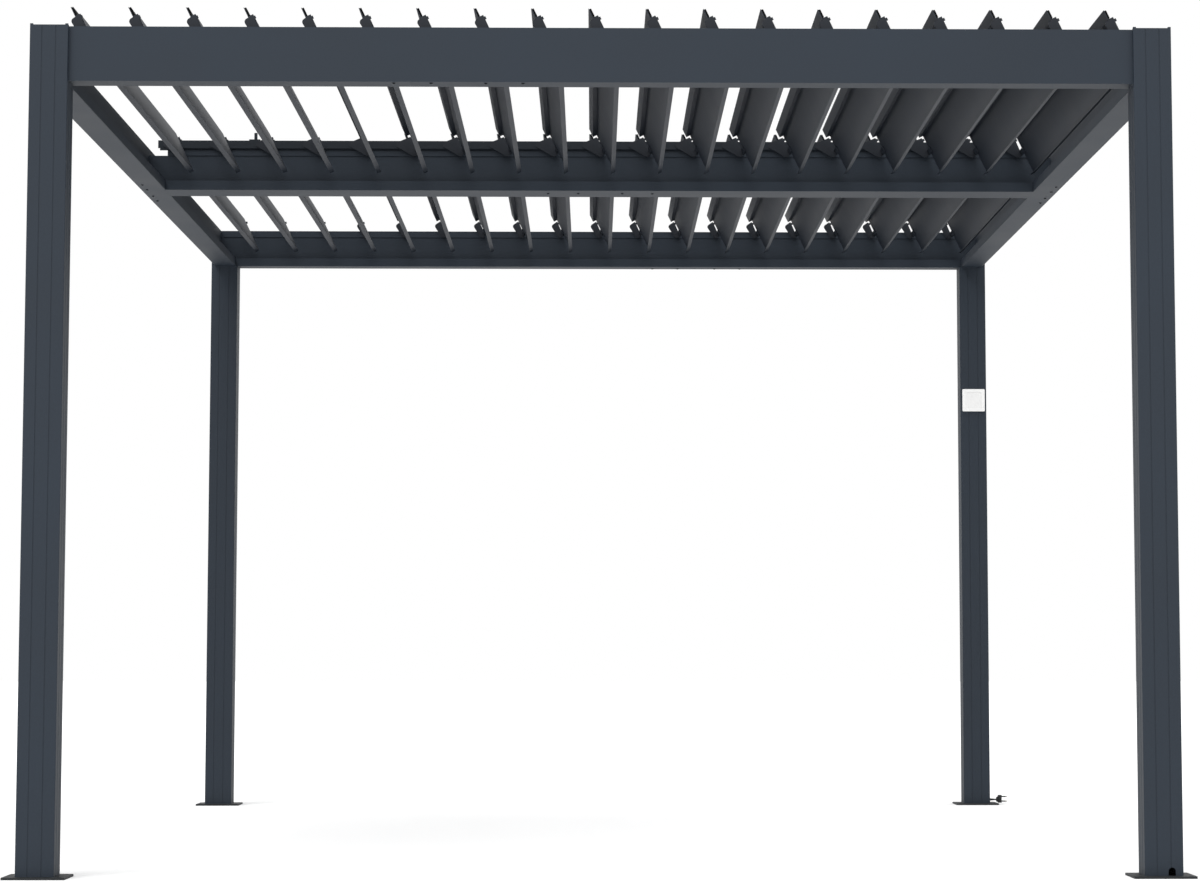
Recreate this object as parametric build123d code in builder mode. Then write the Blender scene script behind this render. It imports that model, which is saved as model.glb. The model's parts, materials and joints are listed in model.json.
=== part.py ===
"""Louvered pergola: four posts, a ring of gutter beams, a middle beam and two bays of louvers.

Millimetres. The origin is on the ground at the middle of the four feet. X runs across the
front, Y runs from the front to the back and Z is up. The louvers stand part open. The
louvers of a bay turn together: each has a crank at the middle beam, and a flat push bar
joins the cranks of the bay.
"""

import os
from math import cos, radians, sin

from build123d import *

# Overall size, to the outer faces of the posts
frame_width = 3000
frame_depth = 4300

# Posts, feet and caps
post_side = 100
post_wall = 3
post_corner_radius = 2
groove_offset = 18
groove_width = 3
groove_depth = 1
plate_side = 162
plate_thickness = 6
plate_corner_radius = 4
anchor_inset = 15
anchor_hole_radius = 6
cap_top = 2217.5
cap_thickness = 4
cap_lug_side = 8
cap_lug_rise = 3

# Rain outlet low in the front right post
outlet_width = 19
outlet_height = 21
outlet_offset = 20.4

# Gutter beams: a hollow upright that carries the louvers and a gutter along its foot
beam_recess = 14
beam_drop = 2
beam_height = 145
beam_wall = 2.5
upright_depth = 14
gutter_width = 78
gutter_lip_height = 30.5

# Middle beam: a gutter on each side of one hollow upright
middle_width = 150
middle_upright_width = 28
notch_depth = 24.7
notch_length = 62.3

# Louver blades: a shallow tray with a flange that laps over the next blade
louvers_per_bay = 19
louver_side_room = 60.75
pivot_drop = 15.35
rest_tilt = 64.5
blade_lap = 11.55
blade_depth = 15.6
blade_sheet = 2.2
flange_width = 28.5
flange_sheet = 1.8
lip_rise = 14.55
pivot_off_middle = 0.15
pivot_across = 1.4
end_plate = 3

# Places along a pivot, counted from the face of the upright that carries it
bar_near = 8
bar_thickness = 4
lever_near = 13
lever_thickness = 3
blade_near = 20
drain_gap = 58

# Levers and pins
pin_radius = 4
crank_pin_radius = 3
running_clearance = 0.25
hub_radius = 11
crank_along = -45.4
crank_across = -32.7
crank_boss_radius = 9.5
lobe_along = -40.5
lobe_across = -6.1
lobe_radius = 9.6
lever_corner_radius = 2
lever_top = 28.5
lever_edge = 14
tab_start = 33
tab_end = 41
tab_edge = 19
tongue_width = 19
tongue_sheet = 3
tongue_lap = 40

# Bearing strips on the uprights
rail_thickness = 3
rail_height = 18
rail_end_gap = 12

# Push bars and the bracket on the front one
bar_height = 25.4
bar_end = 25
bracket_inset = 374
bracket_width = 36
bracket_depth = 9
bracket_base = 4
bracket_stem_shift = 3
bracket_stem_width = 10
bracket_stem_depth = 4
bracket_height = 26

# Wall control on the rear right post
control_side = 86
control_depth = 9
control_radius = 4
control_height = 1552
control_inset_side = 60
control_inset_depth = 2

# Supply cord and plug at the foot of the rear right post
cord_radius = 2.5
cord_height = 18.6
cord_inset = 60
cord_length = 30
gland_neck_radius = 4
gland_radius = 5.5
gland_flange = 3
plug_length = 21
plug_width = 24
plug_height = 30
plug_corner_radius = 5
plug_pin_spacing = 17.5
plug_pin_radius = 2.4
plug_pin_length = 21

# Gap left between a part and what it seats on or turns in
seat = 0.3

# Places that follow from the sizes above
half_width = frame_width / 2
half_depth = frame_depth / 2
post_x = half_width - post_side / 2
post_y = half_depth - post_side / 2
post_top = cap_top - cap_thickness
beam_x = half_width - beam_recess
beam_y = half_depth - beam_recess
beam_top = cap_top - beam_drop
beam_bottom = beam_top - beam_height
lip_top = beam_bottom + gutter_lip_height
upright_face_x = beam_x - upright_depth
upright_face_y = beam_y - upright_depth
middle_face_y = middle_upright_width / 2
middle_end_x = beam_x - gutter_width
rail_end_x = upright_face_x - notch_length
notch_height = beam_top - notch_depth
notched_side = post_side - beam_recess
corners = [(-1, -1), (1, -1), (-1, 1), (1, 1)]
pivot_height = beam_top - pivot_drop
louver_pitch = (2 * upright_face_x - louver_side_room) / louvers_per_bay
pivots = [(i - (louvers_per_bay - 1) / 2) * louver_pitch for i in range(louvers_per_bay)]
blade_width = louver_pitch + blade_lap
pivot_along = blade_width / 2 - pivot_off_middle
along_x = cos(radians(rest_tilt))
along_z = sin(radians(rest_tilt))
crank_x = crank_along * along_x + crank_across * along_z
crank_z = -crank_along * along_z + crank_across * along_x
bar_z = pivot_height + crank_z
bracket_x = bracket_inset - half_width
cord_y = half_depth - cord_inset


def front_plane(x, y, z):
    """Plane that faces the front, with its x along X and its y up."""
    return Plane(origin=(x, y, z), x_dir=(1, 0, 0), z_dir=(0, -1, 0))


def blade_plane(x, y):
    """Plane that faces the front at a pivot, with its x from the flange towards the lip."""
    return Plane(origin=(x, y, pivot_height), x_dir=(along_x, 0, -along_z), z_dir=(0, -1, 0))


def finish(builder, name):
    """Label a finished piece and write it."""
    builder.part.label = name
    export_step(builder.part, f"parts/{name}.step")


def notch_centre(x_sign, y_sign):
    """Middle of the square that the beams take out of the top of a post."""
    return (
        x_sign * (half_width - post_side + notched_side / 2),
        y_sign * (half_depth - post_side + notched_side / 2),
    )


def make_post(name, x_sign, y_sign, outlet=False, gland=False):
    """Hollow grooved post, cut away at the top so that the beams sit on its inner walls."""
    face = post_side / 2
    with BuildPart() as post:
        with BuildSketch(Plane.XY.offset(plate_thickness)):
            with Locations((x_sign * post_x, y_sign * post_y)):
                RectangleRounded(post_side, post_side, post_corner_radius)
                inner_side = post_side - 2 * post_wall
                Rectangle(inner_side, inner_side, mode=Mode.SUBTRACT)
                for offset in (-groove_offset, groove_offset):
                    with Locations((-face, offset), (face, offset)):
                        Rectangle(2 * groove_depth, groove_width, mode=Mode.SUBTRACT)
                    with Locations((offset, -face), (offset, face)):
                        Rectangle(groove_width, 2 * groove_depth, mode=Mode.SUBTRACT)
        extrude(amount=post_top - plate_thickness)
        with BuildSketch(Plane.XY.offset(beam_bottom)):
            with Locations(notch_centre(x_sign, y_sign)):
                Rectangle(notched_side, notched_side)
        extrude(amount=post_top - beam_bottom, mode=Mode.SUBTRACT)
        if outlet:
            straight = outlet_height - outlet_width / 2
            wall_back = y_sign * half_depth + post_wall
            with BuildSketch(front_plane(x_sign * post_x + outlet_offset, wall_back, plate_thickness)):
                with Locations((0, straight / 2)):
                    Rectangle(outlet_width, straight)
                with Locations((0, straight)):
                    Circle(outlet_width / 2)
            extrude(amount=post_wall, mode=Mode.SUBTRACT)
        if gland:
            with BuildSketch(cord_plane(half_width - post_wall)):
                Circle(gland_neck_radius)
            extrude(amount=post_wall, mode=Mode.SUBTRACT)
    finish(post, name)


def make_base_plates():
    """Four foot plates with an anchor hole near each corner."""
    hole_reach = plate_side / 2 - anchor_inset
    with BuildPart() as plates:
        with BuildSketch(Plane.XY):
            with Locations(*[(sx * post_x, sy * post_y) for sx, sy in corners]):
                RectangleRounded(plate_side, plate_side, plate_corner_radius)
                with GridLocations(2 * hole_reach, 2 * hole_reach, 2, 2):
                    Circle(anchor_hole_radius, mode=Mode.SUBTRACT)
        extrude(amount=plate_thickness)
    finish(plates, "base_plates")


def make_post_caps():
    """Four L-shaped caps on the post tops, with a raised lug at each end of the L."""
    reach = post_side / 2 - cap_lug_side / 2
    with BuildPart() as caps:
        with BuildSketch(Plane.XY.offset(post_top)):
            for sx, sy in corners:
                with Locations((sx * post_x, sy * post_y)):
                    RectangleRounded(post_side, post_side, post_corner_radius)
                with Locations(notch_centre(sx, sy)):
                    Rectangle(notched_side, notched_side, mode=Mode.SUBTRACT)
        extrude(amount=cap_thickness)
        with BuildSketch(Plane.XY.offset(cap_top)):
            for sx, sy in corners:
                for lug_x, lug_y in ((sx, sy), (-sx, sy), (sx, -sy)):
                    with Locations((sx * post_x + lug_x * reach, sy * post_y + lug_y * reach)):
                        RectangleRounded(cap_lug_side, cap_lug_side, post_corner_radius)
        extrude(amount=cap_lug_rise)
    finish(caps, "post_caps")


def make_outer_beam(name, outer_corner, inward, side_way):
    """Hollow upright of the beam along one side, mitred at both ends."""
    corner_x, corner_y = outer_corner
    half = abs(corner_x * side_way[0] + corner_y * side_way[1])
    middle = (corner_x * abs(inward[0]), corner_y * abs(inward[1]))
    section_plane = Plane(
        origin=(middle[0], middle[1], beam_bottom), x_dir=(*inward, 0), z_dir=(inward[1], -inward[0], 0)
    )
    with BuildPart() as beam:
        with BuildSketch(section_plane):
            with Locations((upright_depth / 2, beam_height / 2)):
                Rectangle(upright_depth, beam_height)
                Rectangle(upright_depth - 2 * beam_wall, beam_height - 2 * beam_wall, mode=Mode.SUBTRACT)
        extrude(amount=half, both=True)
        with BuildSketch(Plane.XY.offset(beam_bottom)):
            with BuildLine():
                Polyline(
                    *[
                        (
                            middle[0] + inward[0] * depth + side_way[0] * way * (half - depth),
                            middle[1] + inward[1] * depth + side_way[1] * way * (half - depth),
                        )
                        for depth, way in ((0, -1), (0, 1), (upright_depth, 1), (upright_depth, -1))
                    ],
                    close=True,
                )
            make_face()
        extrude(amount=beam_height, mode=Mode.INTERSECT)
    finish(beam, name)


def make_outer_gutters():
    """Gutter floors and lips along the four outer beams, mitred at the corners."""
    lip_x = beam_x - gutter_width
    lip_y = beam_y - gutter_width
    lip_back_x = lip_x + beam_wall
    lip_back_y = lip_y + beam_wall
    rings = (
        (upright_face_x, upright_face_y, lip_back_x + seat, lip_back_y + seat, beam_wall),
        (lip_back_x, lip_back_y, lip_x, lip_y, gutter_lip_height),
    )
    with BuildPart() as gutters:
        for outer_x, outer_y, inner_x, inner_y, height in rings:
            with BuildSketch(Plane.XY.offset(beam_bottom)):
                Rectangle(2 * outer_x, 2 * outer_y)
                Rectangle(2 * inner_x, 2 * inner_y, mode=Mode.SUBTRACT)
            extrude(amount=height)
        with BuildSketch(Plane.XY.offset(beam_bottom)):
            for sx, sy in corners:
                with Locations(Location((sx * lip_x, sy * lip_y), 45 * sx * sy)):
                    Rectangle(4 * gutter_width, seat)
        extrude(amount=gutter_lip_height, mode=Mode.SUBTRACT)
    finish(gutters, "outer_gutters")


def middle_upright_section(bottom):
    """Draw the hollow upright of the middle beam, open at its foot."""
    height = beam_top - bottom
    with Locations((0, bottom + height / 2)):
        Rectangle(middle_upright_width, height)
    with Locations((0, (bottom + beam_top - beam_wall) / 2)):
        Rectangle(middle_upright_width - 2 * beam_wall, height - beam_wall, mode=Mode.SUBTRACT)


def make_middle_beam():
    """Upright that runs on over the side gutters and is notched at both ends."""
    with BuildPart() as beam:
        with BuildSketch(Plane.YZ):
            middle_upright_section(lip_top)
        extrude(amount=upright_face_x, both=True)
        with BuildSketch(Plane.YZ):
            middle_upright_section(beam_bottom)
            with Locations((0, beam_bottom + beam_wall / 2)):
                Rectangle(middle_upright_width, beam_wall)
        extrude(amount=middle_end_x, both=True)
        with BuildSketch(front_plane(0, 0, notch_height)):
            for side in (-1, 1):
                with Locations((side * (upright_face_x - notch_length / 2), notch_depth / 2)):
                    Rectangle(notch_length, notch_depth)
        extrude(amount=middle_face_y, both=True, mode=Mode.SUBTRACT)
    finish(beam, "middle_beam")


def make_middle_gutters():
    """Gutter floor and lip on each side of the middle beam."""
    lip_back = middle_width / 2 - beam_wall
    floor_width = lip_back - seat - middle_face_y
    with BuildPart() as gutters:
        with BuildSketch(Plane.YZ):
            for side in (-1, 1):
                with Locations((side * (middle_face_y + floor_width / 2), beam_bottom + beam_wall / 2)):
                    Rectangle(floor_width, beam_wall)
                with Locations((side * (lip_back + beam_wall / 2), beam_bottom + gutter_lip_height / 2)):
                    Rectangle(beam_wall, gutter_lip_height)
        extrude(amount=middle_end_x, both=True)
    finish(gutters, "middle_gutters")


def make_pivot_rails():
    """Four bearing strips on the uprights, bored for the pivot pins."""
    outer_end_x = upright_face_x - rail_end_gap
    strips = (
        (-upright_face_y + rail_thickness, outer_end_x),
        (upright_face_y, outer_end_x),
        (-middle_face_y, rail_end_x),
        (middle_face_y + rail_thickness, rail_end_x),
    )
    with BuildPart() as rails:
        for back, end_x in strips:
            with BuildSketch(front_plane(0, back, pivot_height)):
                Rectangle(2 * end_x, rail_height)
                with Locations(*[(x, 0) for x in pivots]):
                    Circle(pin_radius + running_clearance, mode=Mode.SUBTRACT)
            extrude(amount=rail_thickness)
    finish(rails, "pivot_rails")


def blade_outline():
    """Corners of a blade's section about its pivot."""
    points = [
        (0, 0),
        (flange_width, 0),
        (flange_width, blade_depth - blade_sheet),
        (blade_width - blade_sheet, blade_depth - blade_sheet),
        (blade_width - blade_sheet, blade_depth - lip_rise),
        (blade_width, blade_depth - lip_rise),
        (blade_width, blade_depth),
        (flange_width - blade_sheet, blade_depth),
        (flange_width - blade_sheet, flange_sheet),
        (0, flange_sheet),
    ]
    return [(along - pivot_along, across - pivot_across) for along, across in points]


def lever_outline(centre, radius):
    """Draw a lever: the hull of its hub, one round lobe and a square corner, with a tab beside it."""
    corner = (
        lever_top + lever_corner_radius - pivot_along,
        lever_edge - lever_corner_radius - pivot_across,
    )
    with BuildLine() as circles:
        CenterArc((0, 0), hub_radius, 0, 360)
        CenterArc(corner, lever_corner_radius, 0, 360)
        CenterArc(centre, radius, 0, 360)
    make_hull(circles.edges())
    with Locations(((tab_start + tab_end) / 2 - pivot_along, tab_edge / 2 - pivot_across)):
        Rectangle(tab_end - tab_start, tab_edge)


def slab(side, near, far):
    """Y of the back face and thickness of a slab between two distances from the middle."""
    return max(side * near, side * far), far - near


def make_louver(name, x, side):
    """One louver: tray closed at its front end, pivot pins, idle lever and crank with its pin."""
    inner_start = middle_face_y + (drain_gap if side < 0 else blade_near)
    outer_end = upright_face_y - (blade_near if side < 0 else drain_gap)
    crank_start = middle_face_y + lever_near
    idle_start = upright_face_y - lever_near - lever_thickness
    if side < 0:
        closed_start = outer_end - end_plate
        tongue_start = crank_start
        pins = ((middle_face_y + seat, crank_start), (outer_end, upright_face_y - seat))
    else:
        closed_start = inner_start
        tongue_start = outer_end - tongue_lap
        pins = ((middle_face_y + seat, inner_start), (idle_start, upright_face_y - seat))
    tongue_length = drain_gap - lever_near + tongue_lap
    crank = ((crank_along, crank_across), crank_boss_radius)
    idle = ((lobe_along, lobe_across), lobe_radius)
    with BuildPart() as louver:
        back, length = slab(side, inner_start, outer_end)
        with BuildSketch(blade_plane(x, back)):
            with BuildLine():
                Polyline(*blade_outline(), close=True)
            make_face()
        extrude(amount=length)
        back, length = slab(side, closed_start, closed_start + end_plate)
        tray_width = blade_width - flange_width + blade_sheet
        with BuildSketch(blade_plane(x, back)):
            with Locations(
                (blade_width - tray_width / 2 - pivot_along, blade_depth - lip_rise / 2 - pivot_across)
            ):
                Rectangle(tray_width, lip_rise)
            Circle(hub_radius)
        extrude(amount=length)
        back, length = slab(side, tongue_start, tongue_start + tongue_length)
        tongue_across = blade_depth - blade_sheet - tongue_sheet / 2 - pivot_across
        with BuildSketch(blade_plane(x, back)):
            with Locations((0, tongue_across)):
                Rectangle(tongue_width, tongue_sheet)
        extrude(amount=length)
        for near, far in pins:
            back, length = slab(side, near, far)
            with BuildSketch(blade_plane(x, back)):
                Circle(pin_radius)
            extrude(amount=length)
        for near, lobe in ((crank_start, crank), (idle_start, idle)):
            back, length = slab(side, near, near + lever_thickness)
            with BuildSketch(blade_plane(x, back)):
                lever_outline(*lobe)
            extrude(amount=length)
        back, length = slab(side, middle_face_y + bar_near, crank_start)
        with BuildSketch(blade_plane(x, back)):
            with Locations((crank_along, crank_across)):
                Circle(crank_pin_radius)
        extrude(amount=length)
    finish(louver, name)


def make_push_bar(name, side):
    """Flat bar that joins the cranks of one bay."""
    first = pivots[0] + crank_x
    last = pivots[-1] + crank_x
    back, length = slab(side, middle_face_y + bar_near, middle_face_y + bar_near + bar_thickness)
    with BuildPart() as bar:
        with BuildSketch(front_plane(0, back, bar_z)):
            with Locations(((first + last) / 2, 0)):
                Rectangle(last - first + 2 * bar_end, bar_height)
            with Locations(*[(x + crank_x, 0) for x in pivots]):
                Circle(crank_pin_radius + running_clearance, mode=Mode.SUBTRACT)
        extrude(amount=length)
    finish(bar, name)


def make_drive_bracket():
    """Small bracket on the front push bar, set back from the cranks."""
    outer = middle_face_y + bar_near + bar_thickness
    back = -(outer - bracket_depth)
    with BuildPart() as bracket:
        with BuildSketch(front_plane(bracket_x, back, bar_z + bar_height / 2)):
            with Locations((0, bracket_base / 2)):
                Rectangle(bracket_width, bracket_base)
        extrude(amount=bracket_depth)
        with BuildSketch(front_plane(bracket_x + bracket_stem_shift, back, bar_z + bar_height / 2)):
            with Locations((0, bracket_height / 2)):
                Rectangle(bracket_stem_width, bracket_height)
        extrude(amount=bracket_stem_depth)
    finish(bracket, "drive_bracket")


def make_wall_control():
    """Square control on the front face of the rear right post, with an inset face."""
    face_y = half_depth - post_side
    front_y = face_y - control_depth
    with BuildPart() as box:
        with BuildSketch(front_plane(post_x, face_y, control_height)):
            RectangleRounded(control_side, control_side, control_radius)
        extrude(amount=control_depth)
        with BuildSketch(front_plane(post_x, front_y + control_inset_depth, control_height)):
            RectangleRounded(control_inset_side, control_inset_side, control_radius)
        extrude(amount=control_inset_depth, mode=Mode.SUBTRACT)
    finish(box, "wall_control_box")
    panel_side = control_inset_side - 2 * seat
    with BuildPart() as panel:
        with BuildSketch(front_plane(post_x, front_y + control_inset_depth, control_height)):
            RectangleRounded(panel_side, panel_side, control_radius - seat)
        extrude(amount=control_inset_depth / 2)
    finish(panel, "wall_control_panel")


def cord_plane(x):
    """Plane across the supply cord."""
    return Plane(origin=(x, cord_y, cord_height), x_dir=(0, 1, 0), z_dir=(1, 0, 0))


def make_supply():
    """Gland in the post wall, a short straight cord and a plug that stands on the foot plate."""
    cord_start = half_width - post_wall
    plug_start = cord_start + cord_length
    with BuildPart() as gland:
        with BuildSketch(cord_plane(cord_start)):
            Circle(gland_neck_radius)
        extrude(amount=post_wall)
        with BuildSketch(cord_plane(half_width)):
            Circle(gland_radius)
        extrude(amount=gland_flange)
        with BuildSketch(cord_plane(cord_start)):
            Circle(cord_radius)
        extrude(amount=post_wall + gland_flange, mode=Mode.SUBTRACT)
    finish(gland, "cord_gland")
    with BuildPart() as cord:
        with BuildSketch(cord_plane(cord_start)):
            Circle(cord_radius)
        extrude(amount=cord_length)
    finish(cord, "power_cord")
    plug_middle = plate_thickness + plug_height / 2 - cord_height
    with BuildPart() as plug:
        with BuildSketch(cord_plane(plug_start)):
            with Locations((0, plug_middle)):
                RectangleRounded(plug_width, plug_height, plug_corner_radius)
        extrude(amount=plug_length)
        with BuildSketch(cord_plane(plug_start + plug_length)):
            with Locations((0, plug_middle)):
                with GridLocations(0, plug_pin_spacing, 1, 2):
                    Circle(plug_pin_radius)
        extrude(amount=plug_pin_length)
    finish(plug, "power_plug")


os.makedirs("parts", exist_ok=True)
make_post("front_left_post", -1, -1)
make_post("front_right_post", 1, -1, outlet=True)
make_post("rear_left_post", -1, 1)
make_post("rear_right_post", 1, 1, gland=True)
make_base_plates()
make_post_caps()
make_outer_beam("front_beam", (beam_x, -beam_y), (0, 1), (1, 0))
make_outer_beam("rear_beam", (beam_x, beam_y), (0, -1), (1, 0))
make_outer_beam("left_beam", (-beam_x, beam_y), (1, 0), (0, 1))
make_outer_beam("right_beam", (beam_x, beam_y), (-1, 0), (0, 1))
make_outer_gutters()
make_middle_beam()
make_middle_gutters()
make_pivot_rails()
for bay, bay_side in (("front", -1), ("rear", 1)):
    make_push_bar(f"{bay}_push_bar", bay_side)
    for number, louver_x in enumerate(pivots, start=1):
        make_louver(f"{bay}_louver_{number:02d}", louver_x, bay_side)
make_drive_bracket()
make_wall_control()
make_supply()
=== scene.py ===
# %% [markdown]
# # Louvered pergola
# A garden pergola of powder-coated aluminium: four posts, a ring of gutter beams, a beam
# across the middle and two bays of louvers that turn together. The exact shapes come
# packed from the construction model. This lesson dresses them: it finds the camera, paints
# the real finishes and adds the small parts that a maker buys in, such as screws and bushes.

import json
import math

import bmesh
import bpy
from mathutils import Matrix, Vector

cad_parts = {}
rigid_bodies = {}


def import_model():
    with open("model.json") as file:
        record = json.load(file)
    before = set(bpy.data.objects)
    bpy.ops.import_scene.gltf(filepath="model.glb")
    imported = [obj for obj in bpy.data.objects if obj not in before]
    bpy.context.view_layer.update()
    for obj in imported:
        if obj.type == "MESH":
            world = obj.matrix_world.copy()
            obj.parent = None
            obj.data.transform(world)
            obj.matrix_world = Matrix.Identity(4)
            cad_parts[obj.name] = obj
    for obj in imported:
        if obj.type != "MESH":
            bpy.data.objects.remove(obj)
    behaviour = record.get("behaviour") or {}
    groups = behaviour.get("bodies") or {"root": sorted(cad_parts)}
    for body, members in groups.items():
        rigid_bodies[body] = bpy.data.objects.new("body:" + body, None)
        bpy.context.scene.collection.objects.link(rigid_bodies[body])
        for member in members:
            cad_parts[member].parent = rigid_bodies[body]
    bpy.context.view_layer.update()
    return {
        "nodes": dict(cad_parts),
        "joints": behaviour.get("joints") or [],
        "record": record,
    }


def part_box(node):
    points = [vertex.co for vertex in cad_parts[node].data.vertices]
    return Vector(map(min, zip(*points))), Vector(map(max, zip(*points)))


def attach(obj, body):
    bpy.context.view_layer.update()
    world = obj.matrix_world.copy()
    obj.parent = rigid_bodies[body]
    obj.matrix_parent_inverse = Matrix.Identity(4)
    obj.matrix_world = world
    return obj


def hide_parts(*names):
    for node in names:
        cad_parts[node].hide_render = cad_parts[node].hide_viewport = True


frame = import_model()
nodes = frame["nodes"]

# %% [markdown]
# ## The camera
# The photograph was taken from low down in front, with a long lens. The camera's place was
# solved from the four feet and the beams, whose sizes are known, so the render lines up
# with the photograph. The picture was cropped off centre, and the shift puts that back.

# %% Camera
def add_object(name, data):
    """An object with this data, linked into the scene."""
    added = bpy.data.objects.new(name, data)
    bpy.context.scene.collection.objects.link(added)
    return added


photo_width = 1200
photo_height = 883
optical_centre = (651.7, 331.9)
camera_data = bpy.data.cameras.new("photo_camera")
camera_data.lens = 99.98
camera_data.sensor_width = 36
camera_data.shift_x = (photo_width / 2 - optical_centre[0]) / photo_width
camera_data.shift_y = (optical_centre[1] - photo_height / 2) / photo_width
camera_data.clip_end = 200
camera = add_object("photo_camera", camera_data)
camera.location = (-0.0216, -10.797, 0.5738)
camera.rotation_euler = (math.radians(95.523), 0, math.radians(-1.007))
bpy.context.scene.camera = camera
print("shift", round(camera_data.shift_x, 4), round(camera_data.shift_y, 4))

# %% [markdown]
# ## Helpers for finishes
# Colours are written as the hex values that a paint chart gives. Blender's shaders work in
# linear light, so one function converts them. Another adds a node with its settings and
# links in a single line. A few short ones build on it, such as noise and blends, so that
# each finish reads like a recipe.

# %% Colour and node helpers
def linear(hex_colour):
    """An sRGB hex colour as linear red, green, blue and alpha."""
    channels = []
    for start in (1, 3, 5):
        value = int(hex_colour[start : start + 2], 16) / 255
        channels.append(value / 12.92 if value <= 0.04045 else ((value + 0.055) / 1.055) ** 2.4)
    return (*channels, 1.0)


def add_node(tree, kind, inputs=None, **settings):
    """Add a node. Each input takes a value or the output socket that feeds it."""
    node = tree.nodes.new(kind)
    for name, value in settings.items():
        setattr(node, name, value)
    for name, value in (inputs or {}).items():
        if isinstance(value, bpy.types.NodeSocket):
            tree.links.new(value, node.inputs[name])
        else:
            node.inputs[name].default_value = value
    return node


def new_material(name):
    """An empty material and its node tree."""
    material = bpy.data.materials.new(name)
    material.use_nodes = True
    material.node_tree.nodes.clear()
    return material, material.node_tree


def own_space(tree):
    """The place of each point in the piece's own space, so that a pattern rides along."""
    return add_node(tree, "ShaderNodeTexCoord").outputs["Object"]


def noise(tree, place, size_mm, detail, roughness=0.5):
    """Noise whose features are about this many millimetres across."""
    inputs = {"Vector": place, "Scale": 1000 / size_mm, "Detail": detail, "Roughness": roughness}
    return add_node(tree, "ShaderNodeTexNoise", inputs).outputs["Fac"]


def maths(tree, operation, *values):
    """The result of one sum on values or sockets."""
    return add_node(tree, "ShaderNodeMath", dict(enumerate(values)), operation=operation).outputs["Value"]


def ranged(tree, value, before, after=(0.0, 1.0)):
    """A value stretched from one range to another."""
    inputs = {
        "Value": value,
        "From Min": before[0],
        "From Max": before[1],
        "To Min": after[0],
        "To Max": after[1],
    }
    return add_node(tree, "ShaderNodeMapRange", inputs).outputs["Result"]


def between(tree, share, first, second):
    """The colour that lies this share of the way from the first to the second."""
    inputs = {"Factor": share, "A": first, "B": second}
    return add_node(tree, "ShaderNodeMix", inputs, data_type="RGBA").outputs["Result"]


def bump(tree, height, strength, distance_mm):
    """Normals of a surface whose relief is about this many millimetres deep."""
    inputs = {"Height": height, "Strength": strength, "Distance": distance_mm / 1000}
    return add_node(tree, "ShaderNodeBump", inputs).outputs["Normal"]


def finish_surface(material, inputs):
    """Give a material its principled shader and output, and return it."""
    tree = material.node_tree
    shader = add_node(tree, "ShaderNodeBsdfPrincipled", inputs)
    add_node(tree, "ShaderNodeOutputMaterial", {"Surface": shader.outputs["BSDF"]})
    print("finish", material.name)
    return material


# %% [markdown]
# ## Powder coat on aluminium
# The frame is extruded aluminium with a fine-texture polyester powder coat in anthracite.
# Baked powder flows into a skin with a slight orange peel, and its tone drifts a little
# from batch to batch. It is a plastic skin, so it isn't metallic. A flat colour would look
# like a drawing, so noise drives small changes in tone, roughness and bump. The skin mirrors
# a few hundredths of the bright surround on top of its own colour, so the colours are
# written darker than the coat looks. The lever plates at the louver ends get painted shade:
# a darker tone that keeps them as dark as the shaded upright behind them. They are thin and
# lie across the louver, so a band of depth finds them.

# %% Powder coat
batch_drift_mm = 420
# Real grit is about 0.3 mm. It is drawn at 3 mm, because a pixel here covers that much.
grit_mm = 3.0
# Orange peel is about 1.5 mm wide on the real coat and drawn coarser for the same reason.
peel_mm = 6.0
roughness_drift = 0.03
# The band that finds a plate, in metres to each side of the plate's middle.
plate_reach = 0.0022


def powder_coat(name, dark, light, roughness, ior=1.45, plates=None):
    """Matt textured polyester powder coat.

    Plates, where given, are a dark and a light colour of painted shade and the depths of the lever
    plates.
    """
    material, tree = new_material(name)
    place = own_space(tree)
    cloud = noise(tree, place, batch_drift_mm, detail=3.0, roughness=0.55)
    grit = noise(tree, place, grit_mm, detail=2.0, roughness=0.6)
    peel = noise(tree, place, peel_mm, detail=1.0, roughness=0.4)
    share = ranged(tree, maths(tree, "ADD", cloud, grit), before=(0.7, 1.3))
    colour = between(tree, share, linear(dark), linear(light))
    if plates:
        shaded_plate_dark, shaded_plate_light, depths = plates
        # Painted shade: the lever plates take a darker tone than the louver around them.
        painted_plate_shade = between(tree, share, linear(shaded_plate_dark), linear(shaded_plate_light))
        axes = add_node(tree, "ShaderNodeSeparateXYZ", {"Vector": place})
        depth = maths(tree, "ABSOLUTE", axes.outputs["Y"])
        for plate_depth in depths:
            plate_shade_mask = maths(tree, "COMPARE", depth, plate_depth, plate_reach)
            colour = between(tree, plate_shade_mask, colour, painted_plate_shade)
    drift = (roughness - roughness_drift, roughness + roughness_drift)
    return finish_surface(
        material,
        {
            "Base Color": colour,
            "Roughness": ranged(tree, cloud, before=(0.3, 0.7), after=drift),
            "Normal": bump(tree, peel, strength=0.08, distance_mm=0.4),
            "IOR": ior,
        },
    )


# The lever plates sit 28.5 mm from the middle line and 2107.5 mm from it at the outer ends.
# Their darker colours are painted shade.
lever_plate_shade = ("#10161f", "#141b25", (0.0285, 2.1075))
frame_coat = powder_coat("anthracite_powder_coat_frame", "#1a242f", "#1f2a36", 0.6)
louver_coat = powder_coat("anthracite_powder_coat_louver", "#19202a", "#1e2631", 0.6, plates=lever_plate_shade)
linkage_coat = powder_coat("anthracite_powder_coat_linkage", "#181e25", "#1d242c", 0.72, ior=1.4)
foot_coat = powder_coat("anthracite_powder_coat_feet", "#14181b", "#1a1e22", 0.62)

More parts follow.
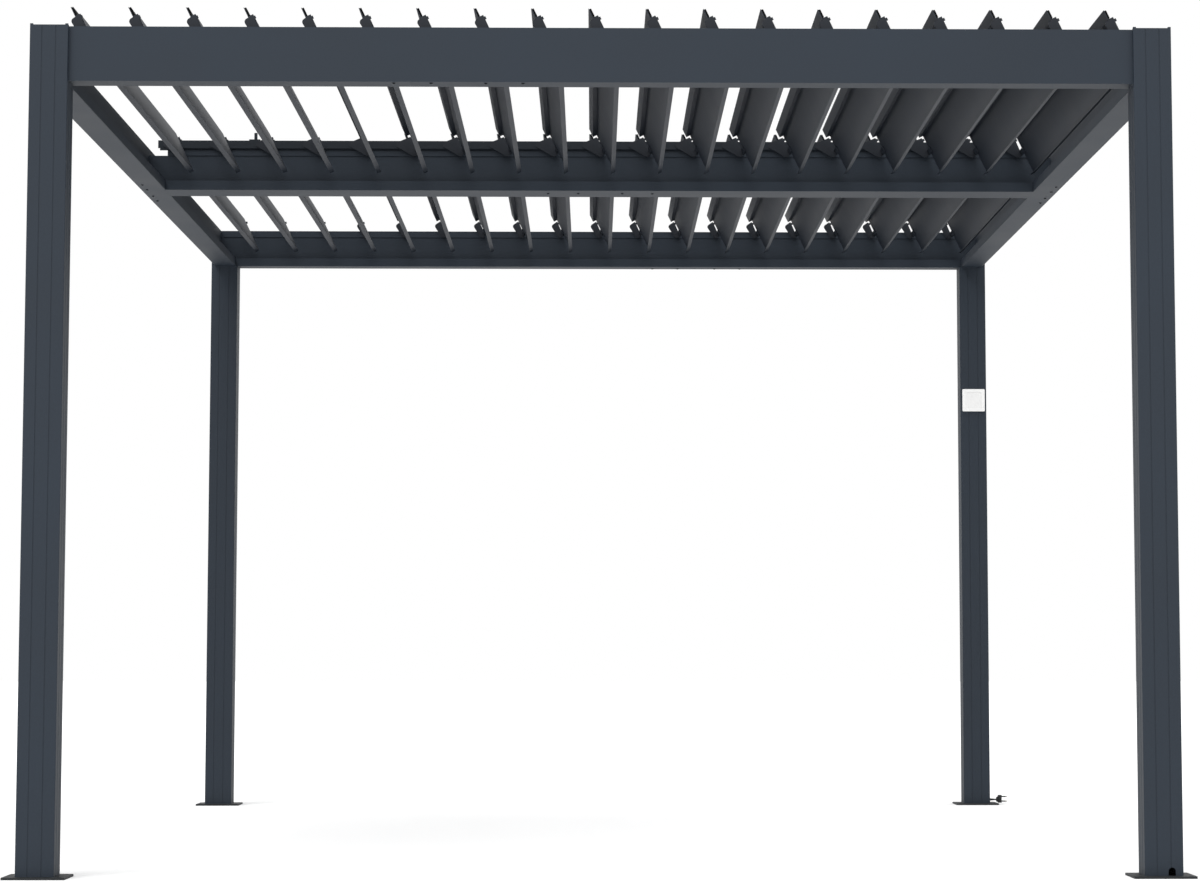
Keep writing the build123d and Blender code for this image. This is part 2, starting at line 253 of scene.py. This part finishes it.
# %% [markdown]
# ## Plastics, rubber and plated metal
# The bushes and the cord's gland are acetal, a hard, slightly waxy plastic. The control is
# moulded ABS with a fine spark-eroded grain. The cord and its plug are PVC, and the seals on
# the louvers are EPDM, a dull black rubber. Screws and pin heads are zinc-plated steel, whose
# thin plating looks a little cloudy, and the plug's pins are nickel-plated brass. Two recipes
# serve them all: a grain that shades and lifts the plastics, and a cloud that blends two
# tones of the metals.

# %% Moulded and plated finishes
grain_shade = 0.93


def moulded(name, base, roughness, grain_mm, ior=1.5, specular=0.5):
    """Moulded plastic or rubber with a fine grain. Specular 0.5 mirrors what the IOR gives."""
    material, tree = new_material(name)
    grain = noise(tree, own_space(tree), grain_mm, detail=2.0)
    hollows = (*(v * grain_shade for v in linear(base)[:3]), 1.0)
    return finish_surface(
        material,
        {
            "Base Color": between(tree, grain, hollows, linear(base)),
            "Roughness": roughness,
            "Normal": bump(tree, grain, strength=0.1, distance_mm=0.2),
            "IOR": ior,
            "Specular IOR Level": specular,
        },
    )


def plated(name, dark, light, roughness, cloud_mm):
    """Thin metal plating with faint clouding."""
    material, tree = new_material(name)
    cloud = noise(tree, own_space(tree), cloud_mm, detail=3.0)
    colour = between(tree, cloud, linear(dark), linear(light))
    return finish_surface(material, {"Base Color": colour, "Metallic": 1.0, "Roughness": roughness})


acetal = moulded("black_acetal", "#1d1f21", 0.42, 1.5, ior=1.48)
control_abs = moulded("white_abs_shell", "#fbfbfa", 0.38, 1.2, ior=1.54)
control_face = moulded("white_abs_face", "#f7f7f6", 0.3, 1.2, ior=1.54)
cord_pvc = moulded("black_pvc_cord", "#17181a", 0.45, 1.0, ior=1.53)
plug_pvc = moulded("black_pvc_plug", "#1a1b1d", 0.5, 1.0, ior=1.53)
# Soot-filled rubber has a dull bloom that mirrors almost nothing, even seen along its length.
seal_rubber = moulded("black_epdm_seal", "#090a0b", 0.8, 2.0, ior=1.52, specular=0.08)
# Plain zinc is a cool, clouded grey. Black zinc is almost as dark as the coat around it.
zinc = plated("zinc_plated_steel", "#8e9397", "#b9bdc0", 0.35, 4.0)
black_zinc = plated("black_zinc_plated_steel", "#1c1e21", "#2a2d31", 0.42, 4.0)
# Nickel is warmer than zinc and smoother, so the pins catch a sharper light.
nickel = plated("nickel_plated_brass", "#7d7870", "#98938a", 0.28, 3.0)

# %% [markdown]
# ## Painting the construction pieces
# Each construction node names the finish it takes. Replacing its material leaves its mesh
# as it is, so the sizes stay exact.

# %% Give each node its finish
finish_of_slot = {
    "frame": frame_coat,
    "louver": louver_coat,
    "linkage": linkage_coat,
    "feet": foot_coat,
    "control_shell": control_abs,
    "control_face": control_face,
    "gland": acetal,
    "cord": cord_pvc,
    "plug": plug_pvc,
}
slot_of_node = {part["node"]: part["material_slot"] for part in frame["record"]["subparts"]}
for name, node in nodes.items():
    node.data.materials.clear()
    node.data.materials.append(finish_of_slot[slot_of_node[name]])
print("painted", len(nodes), "nodes")

# %% [markdown]
# ## Helpers for small parts
# Bought-in parts repeat many times. Each is drawn once about the origin, and copies are
# joined into one mesh where they ride on the same body. A ring of points swept up a profile
# gives round parts, which is how a lathe would turn them. Profiles are written in
# millimetres, as on a drawing, and places in the scene in metres.

# %% Mesh helpers
along_x = Matrix.Rotation(math.pi / 2, 4, "Y")
along_y = Matrix.Rotation(-math.pi / 2, 4, "X")
against_y = Matrix.Rotation(math.pi / 2, 4, "X")
face_down = Matrix.Rotation(math.pi, 4, "X")


def ring(bm, radius, height, points):
    """A ring of vertices about Z."""
    step = 2 * math.pi / points
    angles = [step * (i - 0.5) for i in range(points)]
    return [bm.verts.new((radius * math.cos(a), radius * math.sin(a), height)) for a in angles]


def skin(bm, rings, close_ends=True):
    """Faces between neighbouring rings, and caps on the first and last."""
    for low, high in zip(rings, rings[1:]):
        for i, corner in enumerate(low):
            after = (i + 1) % len(low)
            bm.faces.new((corner, low[after], high[after], high[i]))
    if close_ends:
        bm.faces.new(list(reversed(rings[0])))
        bm.faces.new(rings[-1])


def mesh_of(bm, name):
    """A mesh made of a working mesh, which is freed."""
    mesh = bpy.data.meshes.new(name)
    bm.to_mesh(mesh)
    bm.free()
    return mesh


def turned(name, profile, points=24, hollow=False):
    """A mesh turned about Z from (radius, height) pairs in millimetres.

    A hollow one has a bore: its last ring is joined to its first instead of being capped.
    """
    bm = bmesh.new()
    rings = [ring(bm, radius / 1000, height / 1000, points) for radius, height in profile]
    if hollow:
        rings.append(rings[0])
    skin(bm, rings, close_ends=not hollow)
    return mesh_of(bm, name)


def joined(name, template, places, finish, body):
    """One object made of a template at each place, riding on a body."""
    bm = bmesh.new()
    for place in places:
        start = len(bm.verts)
        bm.from_mesh(template)
        bm.verts.ensure_lookup_table()
        bmesh.ops.transform(bm, matrix=place, verts=bm.verts[start:])
    mesh = mesh_of(bm, name)
    mesh.materials.append(finish)
    piece = add_object(name, mesh)
    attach(piece, body)
    print(name, len(places), "copies", len(mesh.polygons), "faces")
    return piece


# %% [markdown]
# ## Screws under the beams
# Pan-head screws sit in rows of four under the beams, where the middle beam meets the side
# beams and where fittings hang inside the beams. The head is a low dome with a cross recess.
# A plain disc would look like a sticker, so the recess is real: the last ring is drawn in to
# a cross and pushed down into the head.

# %% Pan-head screw
def pan_head(radius_mm=4.6, height_mm=2.8):
    """A pan head with a cross recess, standing on the plane z = 0."""
    points = 12
    radius = radius_mm / 1000
    height = height_mm / 1000
    arm = radius * 0.5
    half = radius * 0.13
    recess_depth = 0.6
    bm = bmesh.new()
    rings = [
        ring(bm, radius, 0.0, points),
        ring(bm, radius, height * 0.3, points),
        ring(bm, radius * 0.9, height * 0.72, points),
        ring(bm, radius * 0.66, height, points),
    ]
    cross = [(arm, -half), (arm, half), (half, half)]
    outline = []
    for quarter in range(4):
        turn = Matrix.Rotation(quarter * math.pi / 2, 2)
        outline += [turn @ Vector(corner) for corner in cross]
    for depth in (0.0, recess_depth):
        rings.append([bm.verts.new((x, y, height * (1 - depth))) for x, y in outline])
    skin(bm, rings)
    return mesh_of(bm, "pan_head")


# %% Rows of screws
front_low, front_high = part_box("front_beam")
side_low, side_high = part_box("right_beam")
edge_to_screw = 0.019
side_screw_x = side_high.x - edge_to_screw
front_screw_y = front_low.y + edge_to_screw
middle_screw_y = -0.010
fitting_offset = 0.378
along_side = (-0.19, -0.075, 0.075, 0.19)
along_front = (-0.17, -0.072, 0.072, 0.17)
spots = [(side * side_screw_x, y) for side in (-1, 1) for y in along_side]
row_middles = (
    (0.0, middle_screw_y),
    (-fitting_offset, front_screw_y),
    (fitting_offset, -front_screw_y),
)
spots += [(row_x + x, row_y) for row_x, row_y in row_middles for x in along_front]
places = [Matrix.Translation((x, y, side_low.z)) @ face_down for x, y in spots]
joined("beam_screws", pan_head(), places, black_zinc, "frame")

# %% [markdown]
# ## Bushes and pin heads
# Each louver pin turns in a flanged bush pressed into the bearing strip, and each crank pin
# ends in a riveted head that keeps the push bar on. Their places come from the joints of
# the construction model, so they stay on their pins when the louvers turn.

# %% Bushes on the strips
turns = {j["child"]: Vector(j["pos_m"]) for j in frame["joints"] if "_turn_" in j["name"]}
bush_bore = 4.4
bush_profile = [(bush_bore, 0), (7.2, 0), (7.2, 0.7), (6.9, 1.0), (bush_bore, 1.0)]
bush = turned("bush", bush_profile, hollow=True)
strip_thickness = 0.003
strips_low, strips_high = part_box("pivot_rails")
upright_low, upright_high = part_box("middle_beam")
strip_faces = (
    ("front", strips_low.y + strip_thickness, along_y),
    ("front", upright_low.y - strip_thickness, against_y),
    ("rear", upright_high.y + strip_thickness, along_y),
    ("rear", strips_high.y - strip_thickness, against_y),
)
places = [
    Matrix.Translation((at.x, face_y, at.z)) @ turn
    for bay, face_y, turn in strip_faces
    for louver, at in turns.items()
    if louver.startswith(bay)
]
joined("pivot_bushes", bush, places, acetal, "frame")

# %% Heads on the crank pins
pin_head = turned("pin_head", [(5.0, 0), (5.0, 0.8), (4.2, 1.5), (2.4, 1.9)])
for bay, corner, turn in (("front", 1, along_y), ("rear", 0, against_y)):
    bar_pin = next(j for j in frame["joints"] if j["name"] == f"{bay}_bar_pin")
    crank = Vector(bar_pin["pos_m"]) - turns[bar_pin["parent"]]
    face_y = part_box(f"{bay}_push_bar")[corner].y
    for louver, at in turns.items():
        if louver.startswith(bay):
            place = Matrix.Translation((at.x + crank.x, face_y, at.z + crank.z)) @ turn
            joined(f"pin_head_{louver}", pin_head, [place], zinc, louver)

# %% [markdown]
# ## Flange seals
# Along the flange of each louver runs a strip of black rubber, on which the next louver's
# lip comes down when the roof is shut, so that rain stays out and the louvers don't rattle.
# The strip is an extrusion: its section, a flat foot with a rounded back, is drawn once in
# the louver's own slanted axes and stretched from end to end. Its places are counted from
# the corner of the flange, as the blade's own section is.

# %% Section of the seal
louver_tilt = math.radians(64.5)
along = Vector((math.cos(louver_tilt), -math.sin(louver_tilt)))
across = Vector((math.sin(louver_tilt), math.cos(louver_tilt)))
pivot_in_section = Vector((81.5, 1.4))
seal_foot = 1.8
seal_back = 6.8
seal_start = 2.0
seal_end = 25.5
seal_round = 1.6
round_steps = 4
seal_outline = [Vector((seal_start, seal_foot)), Vector((seal_end, seal_foot))]
for round_middle, from_degrees in ((seal_end - seal_round, 0), (seal_start + seal_round, 90)):
    for step in range(round_steps + 1):
        angle = math.radians(from_degrees + 90 * step / round_steps)
        middle = Vector((round_middle, seal_back - seal_round))
        seal_outline.append(middle + seal_round * Vector((math.cos(angle), math.sin(angle))))
print("seal", seal_end - seal_start, "by", seal_back - seal_foot, "mm")

# %% Seal strips
def seal_strip(name, start, end, section):
    """A strip of constant section between two depths, from points across the strip."""
    bm = bmesh.new()
    rings = [[bm.verts.new((x, y, z)) for x, z in section] for y in (start, end)]
    skin(bm, rings)
    bmesh.ops.recalc_face_normals(bm, faces=bm.faces)
    return mesh_of(bm, name)


blade_gap = 0.020
drain_gap = 0.058
tray_ends = {
    "front": (front_high.y + blade_gap, upright_low.y - drain_gap),
    "rear": (upright_high.y + blade_gap, -front_high.y - drain_gap),
}
for louver, at in turns.items():
    section = []
    for point in seal_outline:
        offset = point - pivot_in_section
        place = (along * offset.x + across * offset.y) / 1000
        section.append((at.x + place.x, at.z + place.y))
    tray_start, tray_end = tray_ends[louver.split("_")[0]]
    mesh = seal_strip(f"seal_{louver}", tray_start, tray_end, section)
    joined(f"seal_{louver}", mesh, [Matrix.Identity(4)], seal_rubber, louver)

# %% [markdown]
# ## Strain relief
# The supply cord leaves the post through a gland. A tapered sleeve, the strain relief, keeps
# it from bending sharply there. A plain cone would look too stiff: the real sleeve has
# grooves that let it flex, so the profile steps in and out before it is turned.

# %% Strain relief
cord_low, cord_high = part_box("power_cord")
cord_middle = (cord_low + cord_high) / 2
cord_radius = (cord_high.z - cord_low.z) / 2
gland_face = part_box("cord_gland")[1].x
relief_length = 20.0
relief_wide = 4.8
relief_narrow = 3.3
relief_bore = 2.6
groove_depth = 0.5
relief_steps = 14
plain_steps = 2
profile = []
for step in range(relief_steps + 1):
    share = step / relief_steps
    radius = relief_wide + (relief_narrow - relief_wide) * share
    grooved = step % 2 == 1 and step > plain_steps
    profile.append((radius - groove_depth * grooved, relief_length * share))
profile += [(relief_bore, relief_length), (relief_bore, 0)]
relief = turned("strain_relief", profile, hollow=True)
place = Matrix.Translation((gland_face, cord_middle.y, cord_middle.z)) @ along_x
joined("strain_relief", relief, [place], cord_pvc, "frame")

# %% [markdown]
# ## The plug
# The plug is one PVC moulding: a neck where the cord goes in, then a wider head with grip
# grooves. A block would look like a placeholder, so rounded rectangles are drawn across the
# cord's line, wider or narrower from one to the next, and skinned like the ribs of a boat.

# %% Plug body
def rounded_ring(bm, x, middle, half_y, half_z, radius, arc_steps=4):
    """A ring of vertices around a rounded rectangle across X, in millimetres."""
    verts = []
    for quarter, (side_y, side_z) in enumerate(((1, 1), (-1, 1), (-1, -1), (1, -1))):
        for step in range(arc_steps + 1):
            angle = math.pi / 2 * (quarter + step / arc_steps)
            y = side_y * (half_y - radius) + radius * math.cos(angle)
            z = middle + side_z * (half_z - radius) + radius * math.sin(angle)
            verts.append(bm.verts.new((x / 1000, y / 1000, z / 1000)))
    return verts


plug_low, plug_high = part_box("power_plug")
plug_start = Vector((plug_low.x, cord_middle.y, cord_middle.z))
head_middle = 1000 * ((plug_low.z + plug_high.z) / 2 - cord_middle.z)
half_y = 1000 * (plug_high.y - plug_low.y) / 2
half_z = 1000 * (plug_high.z - plug_low.z) / 2
head_end = 21.0
grip_depth = 0.7
# Each rib: place along the cord, middle above the cord, half width, half height, corner radius.
neck = [
    (0.0, 0.0, 4.0, 4.0, 3.6),
    (1.2, 0.3, 6.0, 7.0, 4.0),
    (2.4, 0.6, 7.0, 9.0, 4.0),
    (6.6, 1.2, 8.0, 10.0, 4.0),
]
# Each rib of the head: place along the cord, how far it is drawn in, corner radius.
head = [(8.0, 1.0, 4.5), (9.0, 0.0, 5.0)]
for groove in (11.0, 13.6, 16.2):
    head += [
        (groove, 0.0, 5.0),
        (groove + 0.4, grip_depth, 4.6),
        (groove + 1.0, grip_depth, 4.6),
        (groove + 1.4, 0.0, 5.0),
    ]
head += [(head_end - 0.8, 0.0, 5.0), (head_end, 0.8, 4.4)]
sections = neck + [(x, head_middle, half_y - drawn, half_z - drawn, radius) for x, drawn, radius in head]
bm = bmesh.new()
skin(bm, [rounded_ring(bm, *section) for section in sections])
bmesh.ops.recalc_face_normals(bm, faces=bm.faces)
body_mesh = mesh_of(bm, "plug_body")
plug_body = joined("plug_body", body_mesh, [Matrix.Translation(plug_start)], plug_pvc, "frame")
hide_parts("power_plug")

# %% [markdown]
# ## The plug's pins
# Two round pins stand out of the head. Each is brass, with a black sleeve on its first part
# so that no bare metal can be touched while it is pushed in, and a nickel-plated tip. Sleeve
# and tip are turned apart, because each has its own finish.

# %% Plug pins
pin_spacing = 17.5
pin_length = 1000 * (plug_high.x - plug_low.x) - head_end
sleeve_length = 0.7 * pin_length
sleeve_radius = 2.4
tip_radius = 2.1
sleeve = turned(
    "pin_sleeve",
    [(sleeve_radius, 0), (sleeve_radius, sleeve_length - 0.3), (tip_radius, sleeve_length)],
)
tip = turned(
    "pin_tip",
    [
        (tip_radius, sleeve_length),
        (tip_radius, pin_length - 1.2),
        (1.7, pin_length - 0.4),
        (0.9, pin_length),
    ],
)
places = [
    Matrix.Translation(plug_start + Vector((head_end, 0, head_middle + side * pin_spacing / 2)) / 1000)
    @ along_x
    for side in (-1, 1)
]
plug_sleeves = joined("plug_sleeves", sleeve, places, plug_pvc, "frame")
plug_tips = joined("plug_tips", tip, places, nickel, "frame")
for piece in (plug_sleeves, plug_tips):
    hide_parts("power_plug")

# %% [markdown]
# ## The supply cord
# The cord is a short straight stretch from inside the post to the plug, which it carries at
# its far end. It is drawn as a curve with a round section, which can be bent later.

# %% Cord
cord_length = 0.03
cord_points = 4
curve = bpy.data.curves.new("power_cord_line", "CURVE")
curve.dimensions = "3D"
curve.bevel_depth = cord_radius
curve.bevel_resolution = 6
curve.use_fill_caps = True
line = curve.splines.new("NURBS")
line.points.add(cord_points - 1)
for i, point in enumerate(line.points):
    x = cord_low.x + cord_length * i / (cord_points - 1)
    point.co = (x, cord_middle.y, cord_middle.z, 1.0)
line.order_u = 3
line.use_endpoint_u = True
curve.materials.append(cord_pvc)
cord = add_object("power_cord_visible", curve)
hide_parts("power_cord")
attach(cord, "frame")
print("cord", cord_length, "m")

# %% [markdown]
# ## Floor
# The photograph is a product picture on white. A pale floor catches the shadow and throws
# light up under the roof. The camera alone sees it as white, so that no extra light falls
# on the object.

# %% Floor
floor_reach = 60.0
floor_corners = ((-1, -1), (1, -1), (1, 1), (-1, 1))
floor_material, tree = new_material("pale_studio_floor")
seen_by_camera = add_node(tree, "ShaderNodeLightPath").outputs["Is Camera Ray"]
floor_colour = between(tree, seen_by_camera, linear("#d8d8d8"), linear("#fdfdfd"))
floor_shader = add_node(tree, "ShaderNodeBsdfDiffuse", {"Color": floor_colour})
add_node(tree, "ShaderNodeOutputMaterial", {"Surface": floor_shader.outputs["BSDF"]})
floor_mesh = bpy.data.meshes.new("studio_floor")
corners = [(x * floor_reach, y * floor_reach, 0) for x, y in floor_corners]
floor_mesh.from_pydata(corners, [], [(0, 1, 2, 3)])
floor_mesh.materials.append(floor_material)
floor = add_object("studio_floor", floor_mesh)
print("floor", 2 * floor_reach, "m square")

# %% [markdown]
# ## Light and background
# A white surround gives the even light of a studio, and one very soft lamp far off in front
# of the object, high on the left, gives the shapes their direction. Rays from the camera, and
# those that it sees mirrored or through something, meet plain white.

# %% World and sun
world_level = 1.1
world = bpy.data.worlds.new("studio")
bpy.context.scene.world = world
world.use_nodes = True
tree = world.node_tree
tree.nodes.clear()
light_path = add_node(tree, "ShaderNodeLightPath")
seen = maths(tree, "MAXIMUM", light_path.outputs["Is Camera Ray"], light_path.outputs["Is Glossy Ray"])
seen = maths(tree, "MAXIMUM", seen, light_path.outputs["Is Transmission Ray"])
strength = ranged(tree, seen, before=(0.0, 1.0), after=(world_level, 1.0))
sky = add_node(tree, "ShaderNodeBackground", {"Color": linear("#ffffff"), "Strength": strength})
add_node(tree, "ShaderNodeOutputWorld", {"Surface": sky.outputs["Background"]})

sun_from = Vector((-0.35, -0.75, 1.0))
sun_data = bpy.data.lights.new("soft_front_light", "SUN")
sun_data.energy = 1.4
sun_data.angle = math.radians(40)
sun = add_object("soft_front_light", sun_data)
sun.rotation_euler = (-sun_from).to_track_quat("-Z", "Y").to_euler()
print("sun", sun_data.energy, "world", world_level)

# %% [markdown]
# ## View settings
# The standard view shows a colour as it is written, so the finishes can be compared with the
# photograph one by one.

# %% View settings
bpy.context.scene.view_settings.view_transform = "Standard"
print("view", bpy.context.scene.view_settings.view_transform)
